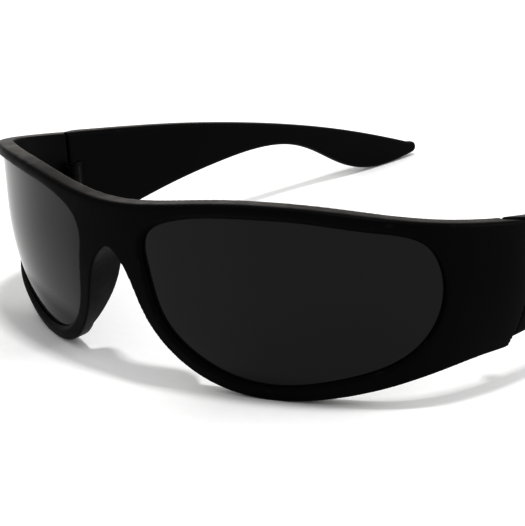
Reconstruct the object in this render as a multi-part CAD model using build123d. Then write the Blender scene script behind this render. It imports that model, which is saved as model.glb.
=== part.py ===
from build123d import *
from math import cos, radians, sin, tan
import os

# Wraparound sport sunglasses, open, resting on the rim bottoms and the temple tips.
# Millimetres, +Z up, the front faces -Y, +X is the wearer's left.
# The left half is drawn with y = 0 at the middle of the brow and mirrored for the right half.
# Export moves every piece by FRONT_Y, so that the origin is the middle of the footprint.

# ---- plan: tangent arcs of the outer face, from the middle of the brow to the temple ----
PLAN_ARCS = ((103.8, 19.0), (79.1, 15.4), (29.7, 37.7), (55.4, 16.3))  # radius, sweep in degrees
TEMPLE_BOW_RADIUS = 3800.0

# ---- vertical section of the wrap: upright above LEAN_TOP, curving inward below it ----
LEAN_TOP = 26.0
LEAN_RADIUS = 70.0
LEAN_FADE_LENGTH = 50.0

# ---- front frame: heights are (station along the plan curve, height) ----
FRAME_THICKNESS = 3.8
TOP_LINE = ((0, 37.1), (12, 37.9), (24, 39.3), (36, 39.9), (48, 39.4), (60, 37.9), (72, 35.9), (84, 33.9), (96, 32.0))
BOTTOM_LINE = ((24, 0.1), (34, 0.0), (44, 0.7), (54, 2.7), (63, 4.9), (72, 6.9), (81, 8.0), (96, 9.0))
# Nose arch, (x, z), at the front plane and, splayed, at the rear plane.
NOSE_FRONT = ((0, 27.5), (1.9, 26.4), (5.1, 21.2), (8.2, 12.3), (13.9, 5.1), (22.3, 1.2), (34.0, -0.3))
NOSE_REAR = ((0, 28.6), (6.8, 27.4), (10.2, 21.2), (13.7, 12.3), (18.2, 5.1), (24.4, 1.2), (34.0, -0.3))
NOSE_FRONT_Y = -3.0
NOSE_REAR_Y = 17.0
PAD_THICKNESS = 2.6
PAD_ROOT_DEPTH = 3.4
# Rear outline of the moulded nose pads, (y, z).
PAD_PROFILE = ((4.0, 31.5), (9.3, 27.0), (11.2, 20.5), (10.4, 13.5), (8.6, 9.0), (6.0, 3.0))

# ---- lens opening, (across, height), seen square to the eye direction ----
EYE_STATION = 40.0
EYE_TURN = 29.0
OPENING = (
    (-28.9, 26.5),
    (-27.8, 31.8),
    (-22.5, 34.7),
    (-9.0, 36.7),
    (4.0, 36.7),
    (17.0, 35.1),
    (27.0, 31.8),
    (29.7, 25.5),
    (28.3, 16.7),
    (24.0, 11.4),
    (11.8, 6.0),
    (-2.0, 3.1),
    (-15.5, 5.3),
    (-25.0, 13.0),
)
BEVEL = 1.1
LENS_DEPTH = 1.3
LENS_THICKNESS = 1.9
LENS_SEAT = 0.8

# ---- temples ----
JOINT_Y = 44.6
TEMPLE_LENGTH = 126.6
FRONT_Y = -(JOINT_Y + TEMPLE_LENGTH) / 2
TEMPLE_ROOT_THICKNESS = 3.8
TEMPLE_THICKNESS = 3.0
TIP_Z = 2.1
TEMPLE_FILLET = 1.0
# Side outlines, (distance behind the joint, height).
TEMPLE_TOP = ((-4.0, 33.9), (0.0, 33.3), (32.0, 28.4), (64.0, 22.0), (96.0, 13.6), (118.0, 6.3), (124.6, 3.9))
TEMPLE_BOTTOM = (
    (125.2, 0.9),
    (112.0, 0.1),
    (103.0, 1.3),
    (94.0, 5.0),
    (86.0, 9.5),
    (77.0, 13.3),
    (66.0, 15.2),
    (50.0, 15.0),
    (30.0, 13.2),
    (12.0, 10.9),
    (0.0, 9.6),
    (-4.0, 9.3),
)

# ---- joint: square to the temple on the inner side, mitred rearward through the wall ----
SLIT_Y = 43.0
MITRE_X = 64.3
MITRE = 64.0
JOINT_GAP = 0.12
SLIT_WIDTH = 0.5

# ---- hinge: three knuckles on a vertical screw, inside the joint ----
HINGE_X = 61.3
HINGE_BASE_Z = 18.5
KNUCKLE_RADIUS = 1.4
KNUCKLE_HEIGHT = 2.4
KNUCKLE_GAP = 0.08
SCREW_RADIUS = 0.7
SCREW_CLEARANCE = 0.05
SCREW_HEAD_RADIUS = 1.1
SCREW_HEAD_HEIGHT = 0.55
SCREW_SLOT = 0.3
LEAF_DEPTH = 2.8
LEAF_THICKNESS = 1.2
LEAF_LENGTH = 3.7
LEAF_END_GAP = 0.4
KNUCKLE_REACH = 1.6
KNUCKLE_CLEARANCE = 0.25
TONGUE_LENGTH = 5.0
TONGUE_THICKNESS = 0.6
TONGUE_HEIGHT = 4.6
TONGUE_HOLE_RADIUS = 0.8

JOINT_STATION = sum(radius * radians(sweep) for radius, sweep in PLAN_ARCS)


def plan(s):
    """Point and heading of the outer plan curve, s along it from the middle of the brow."""
    x, y, heading = 0.0, 0.0, 0.0
    side = -1 if s < 0 else 1
    left = abs(s)
    for radius, sweep in PLAN_ARCS + ((TEMPLE_BOW_RADIUS, 90.0),):
        turn = min(left / radius, radians(sweep))
        x += radius * (sin(heading + turn) - sin(heading))
        y += radius * (cos(heading) - cos(heading + turn))
        heading += turn
        left -= turn * radius
    return side * x, y, side * heading


def on_surface(s, z, depth):
    """Point at station s and height z, depth inside the outer surface."""
    x, y, heading = plan(s)
    fade = min(max(1 - (s - JOINT_STATION) / LEAN_FADE_LENGTH, 0), 1)
    inward = depth + fade * max(LEAN_TOP - z, 0) ** 2 / (2 * LEAN_RADIUS)
    return Vector(x - inward * sin(heading), y + inward * cos(heading), z)


def wrap_shell(stations, outer_depth, inner_depths):
    """Solid between two depths of the wrap surface, lofted through upright sections."""
    wires = []
    heights = [-2 + 48 * i / 8 for i in range(9)]
    for s, inner_depth in zip(stations, inner_depths):
        outer = Spline(*[on_surface(s, z, outer_depth) for z in heights])
        inner = Spline(*[on_surface(s, z, inner_depth) for z in reversed(heights)])
        wires.append(Wire([outer, Line(outer @ 1, inner @ 0), inner, Line(inner @ 1, outer @ 0)]))
    return Solid.make_loft(wires)


def level_cutter(line, z_far):
    """Everything between the heights of a line along the wrap and the level z_far."""
    wires = []
    for s, z in line:
        x, y, heading = plan(s)
        out = Vector(sin(heading), -cos(heading), 0)
        outside = Vector(x, y, 0) + out * 6
        inside = Vector(x, y, 0) - out * 14
        up, far = Vector(0, 0, z), Vector(0, 0, z_far)
        wires.append(Polyline(outside + up, outside + far, inside + far, inside + up, close=True).wire())
    return Solid.make_loft(wires)


def under_arch(front_points, rear_points, end_slope):
    """Everything below a half arch that runs, splayed, from its front outline to its rear outline."""
    wires = []
    for points, y in ((front_points, NOSE_FRONT_Y), (rear_points, NOSE_REAR_Y)):
        ends = [(1, 0, 0), (1, 0, end_slope)]
        arch = Spline(*[Vector(x, y, z) for x, z in points], tangents=ends, tangent_scalars=(1, 1))
        end = arch @ 1
        sides = Polyline(end, Vector(end.X, y, -20), Vector(0, y, -20), arch @ 0)
        wires.append(Wire([arch, *sides.edges()]))
    return Solid.make_loft(wires, ruled=True)


def pad_outline(points):
    """The nose arch moved outward by the pad's thickness, without its last point."""
    crown = (0, points[0][1] + PAD_THICKNESS)
    return [crown] + [(x + PAD_THICKNESS, z + 0.25 * PAD_THICKNESS) for x, z in points[1:-1]]


def nose_pad():
    """Moulded pad, before the nose arch is cut: trimmed to its side profile and kept inside the front."""
    blank = under_arch(pad_outline(NOSE_FRONT), pad_outline(NOSE_REAR), -0.3)
    rear = Spline(*[Vector(0, y, z) for y, z in PAD_PROFILE])
    front = Polyline(rear @ 1, Vector(0, -2, 3.0), Vector(0, -2, 31.5), rear @ 0)
    trimmed = blank & extrude(make_face([rear, *front.edges()]), 40, dir=(1, 0, 0))
    return trimmed & wrap_shell([-8, 0, 8, 16, 24, 32], PAD_ROOT_DEPTH, [14] * 6)


def lens_outline(growth):
    """Closed lens outline, larger by growth at its sides, top and bottom."""
    across, heights = zip(*OPENING)
    widen = 1 + 2 * growth / (max(across) - min(across))
    stretch = 1 + 2 * growth / (max(heights) - min(heights))
    middle = (max(heights) + min(heights)) / 2
    points = [(x * widen, middle + (z - middle) * stretch) for x, z in OPENING]
    return make_face(Spline(*points, periodic=True))


def eye_prism(growth=0.0):
    """Prism of the lens outline along the eye direction, through the whole front."""
    x, y, _ = plan(EYE_STATION)
    turn = radians(EYE_TURN)
    out = Vector(sin(turn), -cos(turn), 0)
    eye = Plane(origin=Vector(x, y, 0) + out * 20, x_dir=(cos(turn), sin(turn), 0), z_dir=out)
    return extrude(eye * lens_outline(growth), -60)


def slab(x_low, x_high, y_low, y_high, z_low, z_high):
    """Box between two corners."""
    size = Box(x_high - x_low, y_high - y_low, z_high - z_low)
    return Pos((x_low + x_high) / 2, (y_low + y_high) / 2, (z_low + z_high) / 2) * size


def joint_side(side):
    """Everything ahead of the joint (side -1) or behind it (side 1), for x > 0."""
    y = SLIT_Y + side * JOINT_GAP / 2
    outside = 90.0
    mitre_end = y + (outside - MITRE_X) * tan(radians(MITRE))
    line = [(0, y), (MITRE_X, y), (outside, mitre_end)]
    far = side * 250
    return extrude(make_face(Polyline(*line, (outside, far), (0, far), close=True)), 120, both=True)


def front_half():
    """Left half of the front: wrapped shell with its nose pad, trimmed to its outline and opened for the lens."""
    stations = [-16, -8, 0, 8, 16, 24, 32, 40, 48, 54, 60, 66, 72, 78, 84, 90, 96]
    shell = wrap_shell(stations, 0, [FRAME_THICKNESS] * len(stations))
    brow = [(-s, z) for s, z in reversed(TOP_LINE[1:3])] + list(TOP_LINE)
    blank = shell & joint_side(-1)
    arch = under_arch(NOSE_FRONT, NOSE_REAR, -0.1)
    trimmed = blank - level_cutter(brow, 60) - level_cutter(BOTTOM_LINE, -30) - arch
    opened = trimmed - eye_prism()
    outer_face = opened.faces().sort_by(SortBy.AREA)[-1]
    bevelled = chamfer(outer_face.inner_wires()[0].edges(), BEVEL)
    return bevelled + (nose_pad() - arch)


def lens_half():
    stations = [0, 8, 16, 24, 32, 40, 48, 54, 60, 66, 72, 78, 84]
    rear = [LENS_DEPTH + LENS_THICKNESS] * len(stations)
    return wrap_shell(stations, LENS_DEPTH, rear) & eye_prism(LENS_SEAT)


def temple_half():
    """Left temple: the wrapped shell cut to the side outline, with a rounded tip."""
    stations = [JOINT_STATION + d for d in (-8, 0, 12, 24, 36, 48, 60, 80, 100, 120, 140)]
    root, thin = TEMPLE_ROOT_THICKNESS, TEMPLE_THICKNESS
    shell = wrap_shell(stations, 0, [root, root, 3.5, 3.2] + [thin] * 7)
    top = Spline(*[Vector(55, JOINT_Y + d, z) for d, z in TEMPLE_TOP])
    bottom = Spline(*[Vector(55, JOINT_Y + d, z) for d, z in TEMPLE_BOTTOM])
    tip = ThreePointArc(top @ 1, Vector(55, JOINT_Y + TEMPLE_LENGTH, TIP_Z), bottom @ 0)
    side = extrude(make_face([top, tip, bottom, Line(bottom @ 1, top @ 0)]), 20, dir=(1, 0, 0))
    temple = shell & side & joint_side(1)
    outline = temple.edges().filter_by(lambda edge: edge.bounding_box().max.Y > JOINT_Y + TEMPLE_LENGTH / 2)
    return fillet(outline, TEMPLE_FILLET)


def hinge_leaf(side, knuckles):
    """One leaf: its knuckles, the plate behind them and the tongue buried in the plastic.

    side is -1 for the leaf that reaches forward into the front and 1 for the temple's.
    """
    top = HINGE_BASE_Z + 3 * KNUCKLE_HEIGHT + 2 * KNUCKLE_GAP
    near, far, end = (SLIT_Y + side * d for d in (KNUCKLE_REACH, LEAF_LENGTH, LEAF_LENGTH + TONGUE_LENGTH))
    back = HINGE_X + LEAF_DEPTH
    leaf = slab(back - LEAF_THICKNESS, back, min(near, far), max(near, far), HINGE_BASE_Z, top)
    middle = (HINGE_BASE_Z + top) / 2
    tongue = slab(
        back - TONGUE_THICKNESS,
        back,
        min(far, end),
        max(far, end),
        middle - TONGUE_HEIGHT / 2,
        middle + TONGUE_HEIGHT / 2,
    )
    anchor = Pos(back, (far + end) / 2, middle) * Rot(0, 90, 0) * Cylinder(TONGUE_HOLE_RADIUS, 4)
    leaf += tongue - anchor
    for index in knuckles:
        base = HINGE_BASE_Z + index * (KNUCKLE_HEIGHT + KNUCKLE_GAP)
        barrel = Pos(HINGE_X, SLIT_Y, base + KNUCKLE_HEIGHT / 2) * Cylinder(KNUCKLE_RADIUS, KNUCKLE_HEIGHT)
        web = slab(HINGE_X, back, min(SLIT_Y, near), max(SLIT_Y, near), base, base + KNUCKLE_HEIGHT)
        leaf += barrel + web
    bore = Pos(HINGE_X, SLIT_Y, middle) * Cylinder(SCREW_RADIUS + SCREW_CLEARANCE, 20)
    return leaf - bore


def hinge_screw():
    top = HINGE_BASE_Z + 3 * KNUCKLE_HEIGHT + 2 * KNUCKLE_GAP
    length = top - HINGE_BASE_Z
    shank = Pos(HINGE_X, SLIT_Y, top - length / 2) * Cylinder(SCREW_RADIUS, length)
    head = Pos(HINGE_X, SLIT_Y, top + SCREW_HEAD_HEIGHT / 2) * Cylinder(SCREW_HEAD_RADIUS, SCREW_HEAD_HEIGHT)
    slot = Pos(HINGE_X, SLIT_Y, top + SCREW_HEAD_HEIGHT) * Box(4, SCREW_SLOT, SCREW_HEAD_HEIGHT)
    return shank + head - slot


def joint_relief():
    """Slit along the joint's inner edge, room for the knuckles and the gap ahead of the front leaf."""
    top = HINGE_BASE_Z + 3 * KNUCKLE_HEIGHT + 2 * KNUCKLE_GAP
    slit = slab(40, MITRE_X, SLIT_Y - SLIT_WIDTH / 2, SLIT_Y + SLIT_WIDTH / 2, -20, 60)
    low, high = HINGE_BASE_Z - KNUCKLE_CLEARANCE, top + SCREW_HEAD_HEIGHT + KNUCKLE_CLEARANCE
    room = Pos(HINGE_X, SLIT_Y, (low + high) / 2) * Cylinder(KNUCKLE_RADIUS + KNUCKLE_CLEARANCE, high - low)
    leaf_end = SLIT_Y - LEAF_LENGTH
    end_gap = slab(HINGE_X, HINGE_X + LEAF_DEPTH, leaf_end - LEAF_END_GAP, leaf_end, HINGE_BASE_Z, top)
    return slit + room + end_gap


front_leaf = hinge_leaf(-1, (0, 2))
temple_leaf = hinge_leaf(1, (1,))
lens = lens_half()
front = front_half() - lens - joint_relief() - front_leaf
temple = temple_half() - joint_relief() - temple_leaf

left_pieces = {
    "lens": lens,
    "temple": temple,
    "hinge_front_leaf": front_leaf,
    "hinge_temple_leaf": temple_leaf,
    "hinge_screw": hinge_screw(),
}

os.makedirs("parts", exist_ok=True)
place = Pos(0, FRONT_Y, 0)
export_step(place * (front + mirror(front, about=Plane.YZ)), "parts/frame_front.step")
for name, piece in left_pieces.items():
    export_step(place * piece, f"parts/{name}_left.step")
    export_step(place * mirror(piece, about=Plane.YZ), f"parts/{name}_right.step")
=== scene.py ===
import math

import bmesh
import bpy
import numpy as np
from mathutils import Matrix, Vector


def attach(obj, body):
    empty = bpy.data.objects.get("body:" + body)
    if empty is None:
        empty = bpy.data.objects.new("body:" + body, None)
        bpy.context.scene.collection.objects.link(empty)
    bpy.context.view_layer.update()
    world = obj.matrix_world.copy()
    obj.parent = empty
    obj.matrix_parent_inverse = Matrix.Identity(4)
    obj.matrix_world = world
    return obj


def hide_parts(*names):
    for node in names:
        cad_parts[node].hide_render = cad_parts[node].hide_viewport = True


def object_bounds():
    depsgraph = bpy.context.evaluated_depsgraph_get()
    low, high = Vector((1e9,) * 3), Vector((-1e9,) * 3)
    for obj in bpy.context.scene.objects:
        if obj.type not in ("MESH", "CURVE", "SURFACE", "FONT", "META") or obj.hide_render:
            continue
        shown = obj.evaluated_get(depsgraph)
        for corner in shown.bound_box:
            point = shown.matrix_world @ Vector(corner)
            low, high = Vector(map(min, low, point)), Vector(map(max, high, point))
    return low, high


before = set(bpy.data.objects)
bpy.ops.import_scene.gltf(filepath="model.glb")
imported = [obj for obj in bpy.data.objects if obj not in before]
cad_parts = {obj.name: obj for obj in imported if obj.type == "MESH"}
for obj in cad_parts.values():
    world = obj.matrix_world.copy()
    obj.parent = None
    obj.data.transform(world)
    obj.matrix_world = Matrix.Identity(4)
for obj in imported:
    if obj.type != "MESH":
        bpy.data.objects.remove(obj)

CAD_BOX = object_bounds()
MM = 0.001

# ---- view: camera place in metres, angles in degrees, lens and sensor in millimetres ----
CAMERA_PLACE = Vector((0.2658, -0.3049, 0.1303))
CAMERA_AZIMUTH = 45.44
CAMERA_ELEVATION = 17.43
CAMERA_ROLL = -3.36
CAMERA_LENS_MM = 125.9
SENSOR_MM = 36.0
CLIP_START = 0.01

# ---- light: each softbox's place, the point it faces, width and depth in metres, watts and colour ----
WORLD_STRENGTH = 0.88
DISPLAY_GAMMA = 0.75
SOFTBOXES = {
    "key": ((0.14, -0.09, 0.80), (0.0, -0.04, 0.0), 0.09, 0.09, 2.8, (1.0, 1.0, 1.0)),
    "back_left": ((-0.95, 0.85, 0.42), (0.0, 0.0, 0.02), 0.8, 0.4, 3.0, (1.0, 0.93, 0.87)),
    "right": ((1.0, 0.80, 0.45), (0.0, 0.0, 0.02), 0.6, 0.4, 5.0, (1.0, 1.0, 1.0)),
}
FLOOR_HALF = 4.0

# ---- skins: grid size, smoothing passes that round the edges, and the share of faces kept afterwards ----
WELD_DISTANCE = 0.001 * MM
FRAME_GRID = 0.18 * MM
TEMPLE_GRID = 0.20 * MM
LENS_GRID = 0.45 * MM
EDGE_PASSES = 14
LENS_PASSES = 2
SMOOTH_FACTOR = 0.5
THINNED_SHARE = 0.25

# ---- lens faces: a point lies on one when its normal is near the lens axis ----
FACE_COSINE = 0.6
FAIRING_DEGREE = 7

# ---- brow: rounding of its outer top edge, around an upright axis behind the bridge ----
BROW_AXIS_Y = CAD_BOX[0][1] + 40.0 * MM
BROW_SECTORS = 240
BROW_DEPTH = 2.8 * MM
BROW_WIDTH = 3.5 * MM
BROW_FADE = 1.5
BROW_PASSES = 110

# ---- finishes: colours are linear; the specular levels are low, as the dark tones of the object are ----
PLASTIC_DARK = (0.0012, 0.0011, 0.0012)
PLASTIC_LIGHT = (0.0026, 0.0024, 0.0026)
# painted sheen: the lighter colour given to sharp edges stands in for the highlights they catch
PLASTIC_EDGE_SHEEN = (0.0060, 0.0054, 0.0056)
PLASTIC_SPECULAR = 0.04
LENS_DARK = (0.0042, 0.0042, 0.0048)
LENS_LIGHT = (0.0056, 0.0055, 0.0062)
LENS_SPECULAR = 0.26
STEEL_DARK = (0.003, 0.003, 0.003)
STEEL_LIGHT = (0.009, 0.009, 0.009)
STEEL_SPECULAR = 0.1
STEEL_METALLIC = 0.3
PAPER_DARK = (0.90, 0.90, 0.90)
PAPER_LIGHT = (0.93, 0.93, 0.93)
PAPER_ROUGHNESS = 0.9


# ---------------------------------------------------------------- mesh work
def welded_copy(node, name):
    """Copy of a CAD node's mesh with the split vertices of its sharp edges joined again."""
    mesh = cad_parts[node].data.copy()
    mesh.name = name
    mesh.materials.clear()
    work = bmesh.new()
    work.from_mesh(mesh)
    bmesh.ops.remove_doubles(work, verts=work.verts, dist=WELD_DISTANCE)
    work.to_mesh(mesh)
    work.free()
    piece = bpy.data.objects.new(name, mesh)
    bpy.context.scene.collection.objects.link(piece)
    return piece


def with_modifiers_applied(piece):
    """The piece, its mesh replaced by what its modifiers make of it."""
    evaluated = piece.evaluated_get(bpy.context.evaluated_depsgraph_get())
    mesh = bpy.data.meshes.new_from_object(evaluated)
    piece.modifiers.clear()
    piece.data = mesh
    for face in mesh.polygons:
        face.use_smooth = True
    return piece


def add_smoothing(piece, passes, group=""):
    smooth = piece.modifiers.new("round_edges", "SMOOTH")
    smooth.factor = SMOOTH_FACTOR
    smooth.iterations = passes
    smooth.vertex_group = group


def remeshed(node, name, grid, passes):
    """The node's shape on an even grid, its edges rounded by a few smoothing passes."""
    piece = welded_copy(node, name)
    remesh = piece.modifiers.new("even_grid", "REMESH")
    remesh.mode = "VOXEL"
    remesh.voxel_size = grid
    add_smoothing(piece, passes)
    return with_modifiers_applied(piece)


def thinned(piece):
    """The piece with a share of its faces, most of them kept where it is curved."""
    thin = piece.modifiers.new("thin", "DECIMATE")
    thin.ratio = THINNED_SHARE
    return with_modifiers_applied(piece)


def vertex_places(mesh):
    places = np.zeros(len(mesh.vertices) * 3)
    mesh.vertices.foreach_get("co", places)
    return places.reshape(-1, 3)


def vertex_normals(mesh):
    return np.array([vertex.normal for vertex in mesh.vertices])


def powers(u, v):
    """Columns u**i * v**j of every term up to the fairing degree."""
    exponents = [(i, j) for i in range(FAIRING_DEGREE + 1) for j in range(FAIRING_DEGREE + 1 - i)]
    return np.stack([u**i * v**j for i, j in exponents], axis=1)


def fair_lens(piece, node):
    """Moves both faces of a lens onto smooth surfaces through the CAD node's own points."""
    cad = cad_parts[node].data
    cad_places = vertex_places(cad)
    middle = cad_places.mean(axis=0)
    axes = np.linalg.svd(cad_places - middle, full_matrices=False)[2]
    size = np.abs((cad_places - middle) @ axes.T).max(axis=0)
    cad_local = (cad_places - middle) @ axes.T / size
    cad_facing = vertex_normals(cad) @ axes[2]
    local = (vertex_places(piece.data) - middle) @ axes.T / size
    facing = vertex_normals(piece.data) @ axes[2]
    for side in (1, -1):
        on_cad = cad_facing * side > FACE_COSINE
        on_piece = facing * side > FACE_COSINE
        terms = powers(cad_local[on_cad, 0], cad_local[on_cad, 1])
        weights = np.linalg.lstsq(terms, cad_local[on_cad, 2], rcond=None)[0]
        local[on_piece, 2] = powers(local[on_piece, 0], local[on_piece, 1]) @ weights
    places = local * size @ axes + middle
    piece.data.vertices.foreach_set("co", places.ravel())
    piece.data.update()


def highest_by_sector(sector, values):
    highest = np.full(BROW_SECTORS + 1, -1.0)
    np.maximum.at(highest, sector, values)
    return highest[sector]


def soften_brow(piece):
    """Rounds the outer top edge of the front more than the rest of its edges."""
    places = vertex_places(piece.data)
    radius = np.hypot(places[:, 0], places[:, 1] - BROW_AXIS_Y)
    turn = np.arctan2(places[:, 0], BROW_AXIS_Y - places[:, 1])
    sector = ((turn + math.pi) / (2 * math.pi) * BROW_SECTORS).astype(int)
    below = highest_by_sector(sector, places[:, 2]) - places[:, 2]
    brow_radius = np.where(below < BROW_DEPTH, radius, -1.0)
    within = highest_by_sector(sector, brow_radius) - radius
    weight = np.clip(BROW_FADE * (1 - below / BROW_DEPTH), 0, 1)
    weight *= np.clip(BROW_FADE * (1 - within / BROW_WIDTH), 0, 1)
    group = piece.vertex_groups.new(name="brow")
    for index in np.flatnonzero(weight > 0):
        group.add([int(index)], float(weight[index]), "REPLACE")
    add_smoothing(piece, BROW_PASSES, "brow")
    with_modifiers_applied(piece)
    piece.vertex_groups.clear()


# ---------------------------------------------------------------- materials
class Nodes:
    """Short hand for building one material's node tree."""

    def __init__(self, name):
        self.material = bpy.data.materials.new(name)
        self.material.use_nodes = True
        self.tree = self.material.node_tree
        self.tree.nodes.clear()
        self.shader = self.add("ShaderNodeBsdfPrincipled")
        output = self.add("ShaderNodeOutputMaterial")
        self.join(self.shader, "BSDF", output, "Surface")
        self.place = self.add("ShaderNodeTexCoord")

    def add(self, kind, **values):
        node = self.tree.nodes.new(kind)
        for key, value in values.items():
            setattr(node, key, value)
        return node

    def join(self, source, output, target, entry):
        self.tree.links.new(source.outputs[output], target.inputs[entry])

    def noise(self, scale, detail=2.0, roughness=0.5, stretch=None):
        node = self.add("ShaderNodeTexNoise")
        node.inputs["Scale"].default_value = scale
        node.inputs["Detail"].default_value = detail
        node.inputs["Roughness"].default_value = roughness
        if stretch is None:
            self.join(self.place, "Object", node, "Vector")
        else:
            mapping = self.add("ShaderNodeMapping")
            mapping.inputs["Scale"].default_value = stretch
            self.join(self.place, "Object", mapping, "Vector")
            self.join(mapping, "Vector", node, "Vector")
        return node

    def cells(self, scale):
        node = self.add("ShaderNodeTexVoronoi")
        node.inputs["Scale"].default_value = scale
        self.join(self.place, "Object", node, "Vector")
        return node

    def range(self, source, output, low, high, to_low, to_high):
        node = self.add("ShaderNodeMapRange")
        node.inputs["From Min"].default_value = low
        node.inputs["From Max"].default_value = high
        node.inputs["To Min"].default_value = to_low
        node.inputs["To Max"].default_value = to_high
        self.join(source, output, node, "Value")
        return node

    def mix(self, factor, output, first, second):
        """Colour mix of two constant colours, or of a node's colour and a constant."""
        node = self.add("ShaderNodeMix", data_type="RGBA")
        self.join(factor, output, node, "Factor")
        for entry, value in (("A", first), ("B", second)):
            socket = [s for s in node.inputs if s.name == entry and s.type == "RGBA"][0]
            if isinstance(value, tuple):
                socket.default_value = (*value, 1.0)
            else:
                self.tree.links.new(self.colour_of(value), socket)
        return node

    def colour_of(self, node):
        return [s for s in node.outputs if s.type == "RGBA" and s.enabled][0]

    def bump(self, height, output, strength, distance, below=None):
        node = self.add("ShaderNodeBump")
        node.inputs["Strength"].default_value = strength
        node.inputs["Distance"].default_value = distance
        self.join(height, output, node, "Height")
        if below is not None:
            self.join(below, "Normal", node, "Normal")
        return node

    def finish(self, colour, roughness, normal, **values):
        """Joins colour, roughness and normal nodes, where given, and sets the shader's plain values."""
        self.tree.links.new(self.colour_of(colour), self.shader.inputs["Base Color"])
        if roughness is not None:
            self.join(roughness, "Result", self.shader, "Roughness")
        if normal is not None:
            self.join(normal, "Normal", self.shader, "Normal")
        for key, value in values.items():
            self.shader.inputs[key.replace("_", " ")].default_value = value
        return self.material


def moulded_plastic():
    """Satin black nylon: fine spark-eroded grain, faint tonal drift, and its sharp edges painted lighter
    as a painted sheen.
    """
    nodes = Nodes("satin_black_nylon")
    drift = nodes.noise(60.0, detail=3.0)
    tone = nodes.mix(drift, "Fac", PLASTIC_DARK, PLASTIC_LIGHT)
    geometry = nodes.add("ShaderNodeNewGeometry")
    # painted sheen: edges found by pointiness get a lighter colour in place of the highlights rounded
    # edges catch
    edge = nodes.range(geometry, "Pointiness", 0.51, 0.56, 0.0, 1.0)
    painted_edge_sheen = nodes.mix(edge, "Result", tone, PLASTIC_EDGE_SHEEN)
    patches = nodes.noise(240.0, detail=4.0, roughness=0.6)
    rough = nodes.range(patches, "Fac", 0.3, 0.7, 0.36, 0.47)
    grain = nodes.noise(9000.0, detail=3.0, roughness=0.55)
    fine = nodes.bump(grain, "Fac", strength=0.35, distance=0.00002)
    coarse = nodes.bump(nodes.cells(4200.0), "Distance", strength=0.25, distance=0.00003, below=fine)
    return nodes.finish(painted_edge_sheen, rough, coarse, Specular_IOR_Level=PLASTIC_SPECULAR)


def smoke_lens():
    """Polished, nearly opaque smoke polycarbonate with the faintest wiping marks."""
    nodes = Nodes("smoke_polycarbonate")
    drift = nodes.noise(35.0)
    tone = nodes.mix(drift, "Fac", LENS_DARK, LENS_LIGHT)
    marks = nodes.noise(90.0, detail=5.0, roughness=0.65, stretch=(1.0, 1.0, 0.25))
    rough = nodes.range(marks, "Fac", 0.35, 0.75, 0.02, 0.07)
    ripple = nodes.noise(150.0, detail=1.0)
    surface = nodes.bump(ripple, "Fac", strength=0.02, distance=0.00002)
    return nodes.finish(tone, rough, surface, Specular_IOR_Level=LENS_SPECULAR)


def hinge_steel():
    """Black oxide steel with fine scratches along the leaf."""
    nodes = Nodes("black_oxide_steel")
    scratches = nodes.noise(2500.0, detail=4.0, roughness=0.6, stretch=(1.0, 0.12, 1.0))
    tone = nodes.mix(scratches, "Fac", STEEL_DARK, STEEL_LIGHT)
    rough = nodes.range(scratches, "Fac", 0.3, 0.7, 0.36, 0.50)
    dents = nodes.bump(scratches, "Fac", strength=0.3, distance=0.00001)
    return nodes.finish(tone, rough, dents, Metallic=STEEL_METALLIC, Specular_IOR_Level=STEEL_SPECULAR)


def floor_paper():
    """Plain white sweep paper."""
    nodes = Nodes("white_paper")
    fibres = nodes.noise(400.0, detail=3.0)
    tone = nodes.mix(fibres, "Fac", PAPER_DARK, PAPER_LIGHT)
    return nodes.finish(tone, None, None, Roughness=PAPER_ROUGHNESS, Specular_IOR_Level=0.0)


# ---------------------------------------------------------------- pieces
def dress(piece, material, body, node):
    """Gives a piece its material, hangs it under its body and hides the CAD node it stands for."""
    piece.data.materials.clear()
    piece.data.materials.append(material)
    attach(piece, body)
    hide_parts(node)


def build_glasses():
    plastic = moulded_plastic()
    lens_material = smoke_lens()
    steel = hinge_steel()
    front = remeshed("frame_front", "front_moulding", FRAME_GRID, EDGE_PASSES)
    soften_brow(front)
    thinned(front)
    dress(front, plastic, "front", "frame_front")
    for side in ("left", "right"):
        temple = thinned(remeshed(f"temple_{side}", f"temple_moulding_{side}", TEMPLE_GRID, EDGE_PASSES))
        dress(temple, plastic, f"{side}_temple", f"temple_{side}")
        lens = remeshed(f"lens_{side}", f"lens_shell_{side}", LENS_GRID, LENS_PASSES)
        fair_lens(lens, f"lens_{side}")
        dress(lens, lens_material, "front", f"lens_{side}")
        for part in ("hinge_front_leaf", "hinge_temple_leaf", "hinge_screw"):
            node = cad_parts[f"{part}_{side}"]
            node.data.materials.clear()
            node.data.materials.append(steel)


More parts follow.
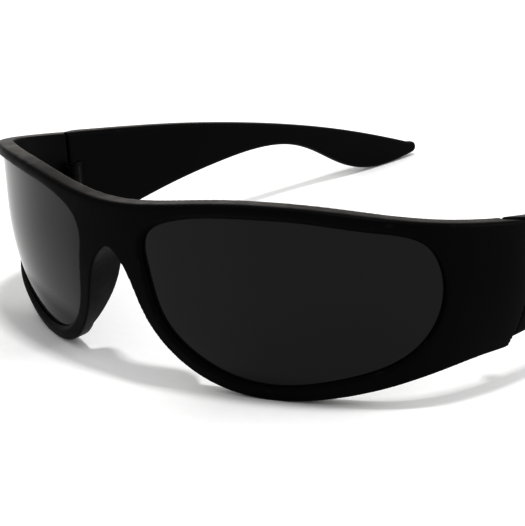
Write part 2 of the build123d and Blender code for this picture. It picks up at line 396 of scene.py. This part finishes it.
# ---------------------------------------------------------------- stage
def build_floor():
    corners = [(x * FLOOR_HALF, y * FLOOR_HALF, 0) for x, y in ((-1, -1), (1, -1), (1, 1), (-1, 1))]
    mesh = bpy.data.meshes.new("floor")
    mesh.from_pydata(corners, [], [(0, 1, 2, 3)])
    floor = bpy.data.objects.new("floor", mesh)
    bpy.context.scene.collection.objects.link(floor)
    mesh.materials.append(floor_paper())


def add_softbox(name, place, aim, width, depth, watts, colour):
    light = bpy.data.lights.new(name, "AREA")
    light.shape = "RECTANGLE"
    light.size = width
    light.size_y = depth
    light.energy = watts
    light.color = colour
    lamp = bpy.data.objects.new(name, light)
    lamp.location = place
    lamp.rotation_euler = (Vector(aim) - Vector(place)).to_track_quat("-Z", "Y").to_euler()
    bpy.context.scene.collection.objects.link(lamp)


def build_light():
    world = bpy.data.worlds.new("studio")
    bpy.context.scene.world = world
    world.use_nodes = True
    background = world.node_tree.nodes["Background"]
    background.inputs["Color"].default_value = (1.0, 1.0, 1.0, 1.0)
    background.inputs["Strength"].default_value = WORLD_STRENGTH
    for name, settings in SOFTBOXES.items():
        add_softbox(name, *settings)
    bpy.context.scene.view_settings.view_transform = "Standard"
    bpy.context.scene.view_settings.gamma = DISPLAY_GAMMA


def build_camera():
    azimuth, elevation, roll = (math.radians(a) for a in (CAMERA_AZIMUTH, CAMERA_ELEVATION, CAMERA_ROLL))
    level = Vector((math.sin(azimuth), -math.cos(azimuth), 0)) * math.cos(elevation)
    back = level + Vector((0, 0, math.sin(elevation)))
    right = (-back).cross(Vector((0, 0, 1))).normalized()
    up = back.cross(right)
    turned_right = right * math.cos(roll) + up * math.sin(roll)
    turned_up = up * math.cos(roll) - right * math.sin(roll)
    turn = Matrix((turned_right, turned_up, back)).transposed().to_4x4()
    camera = bpy.data.objects.new("camera", bpy.data.cameras.new("camera"))
    camera.data.lens = CAMERA_LENS_MM
    camera.data.sensor_width = SENSOR_MM
    camera.data.clip_start = CLIP_START
    camera.matrix_world = Matrix.Translation(CAMERA_PLACE) @ turn
    bpy.context.scene.collection.objects.link(camera)
    bpy.context.scene.camera = camera


build_camera()
build_glasses()
build_floor()
build_light()
